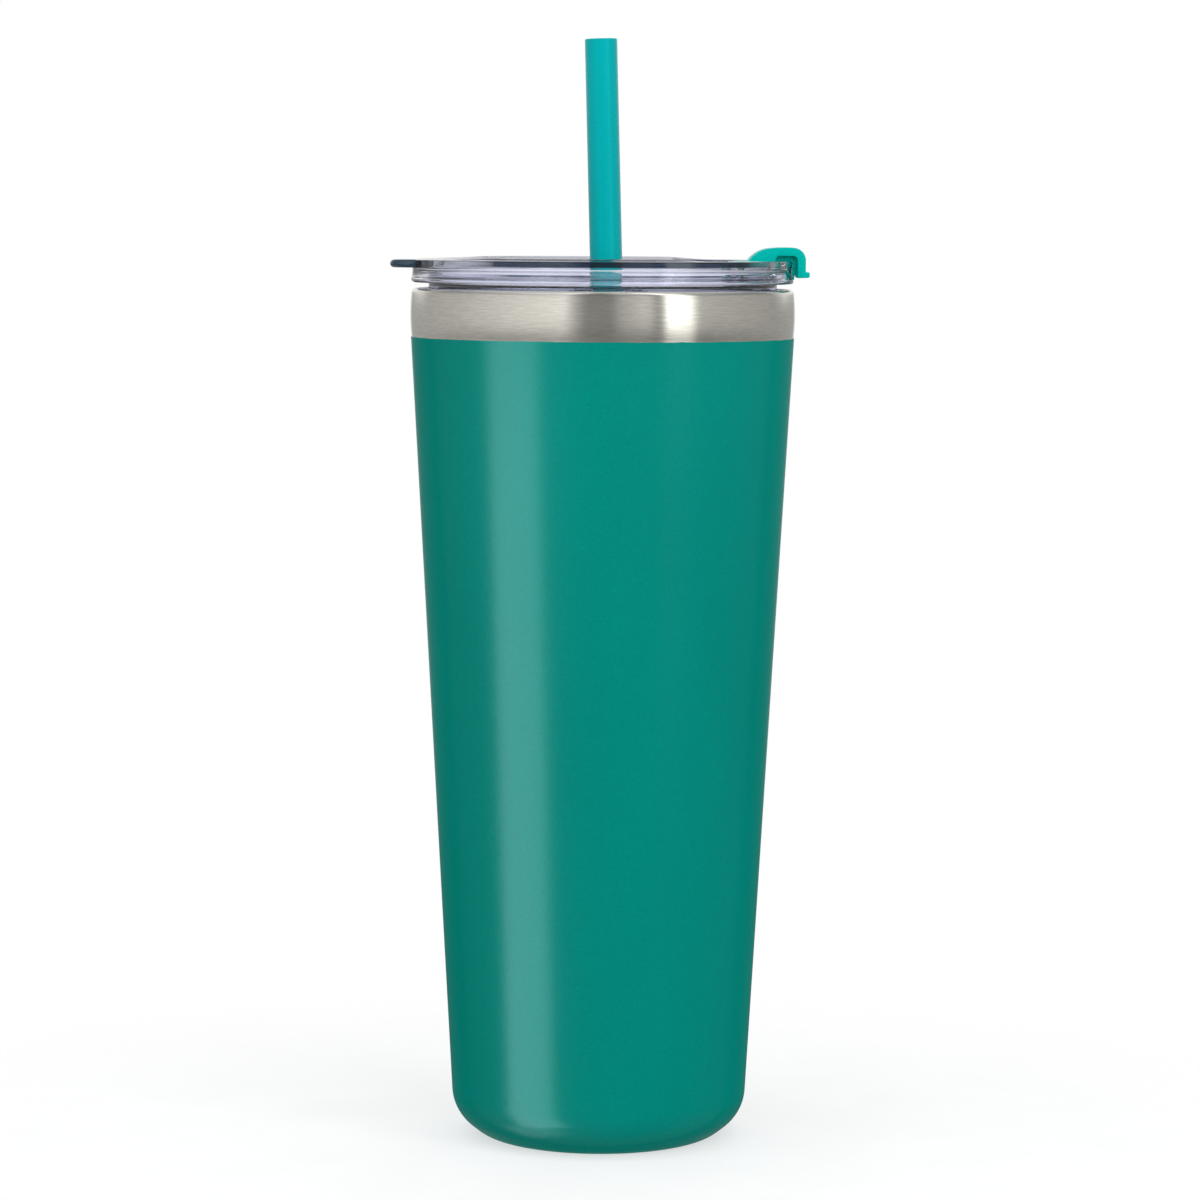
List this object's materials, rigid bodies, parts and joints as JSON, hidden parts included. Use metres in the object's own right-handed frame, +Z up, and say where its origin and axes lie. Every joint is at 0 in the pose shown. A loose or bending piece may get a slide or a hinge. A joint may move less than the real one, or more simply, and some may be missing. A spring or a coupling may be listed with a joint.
{
  "type": "insulated tumbler",
  "caption": "Double-walled steel tumbler with a powder-coated tapered body, clear push-in lid, flip cap over a sip hole, and a straight straw.",
  "frame": {"origin": "centre of the base, on the surface the tumbler stands on", "axes": "+Z up along the cup's axis, +X from the axis to the flip cap and sip side, -X to the lift tab"},
  "size_m": [0.0952, 0.0878, 0.2519],
  "materials": {
    "brushed_steel": "satin",
    "plain_steel": "satin",
    "teal_coat": "satin",
    "copper_foil": "gloss",
    "solder_glass": "gloss",
    "getter": "matte",
    "clear_plastic": "gloss",
    "clear_silicone": "satin",
    "teal_plastic": "gloss",
    "straw_plastic": "gloss"
  },
  "bodies": {
    "cup": {"outer_shell": "brushed_steel", "powder_coat": "teal_coat", "inner_vessel": "plain_steel", "radiation_foil": "copper_foil", "vacuum_base": "plain_steel", "vacuum_solder": "solder_glass", "getter_clip": "plain_steel", "getter_pellet": "getter", "base_cover": "brushed_steel"},
    "gasket": {"lid_gasket": "clear_silicone"},
    "lid": {"lid_body": "clear_plastic", "hinge_pin": "plain_steel", "straw_seal": "clear_silicone"},
    "flip_cap": {"flip_cap": "teal_plastic", "spout_seal": "clear_silicone"},
    "straw": {"straw": "straw_plastic"}
  },
  "joints": [
    {"name": "lid_lift", "type": "slide", "parent": "cup", "child": "gasket", "axis": [0, 0, 1], "range_m": [0, 0.19]},
    {"name": "lid_turn", "type": "hinge", "parent": "gasket", "child": "lid", "pos_m": [0, 0, 0.1905], "axis": [0, 0, 1], "continuous": true},
    {"name": "flip_cap_hinge", "type": "hinge", "parent": "lid", "child": "flip_cap", "pos_m": [0.0293, 0, 0.1999], "axis": [0, -1, 0], "range_deg": [0, 165]},
    {"name": "straw_slide", "type": "slide", "parent": "lid", "child": "straw", "axis": [-0.0284, 0, 0.9996], "range_m": [0, 0.195]}
  ]
}
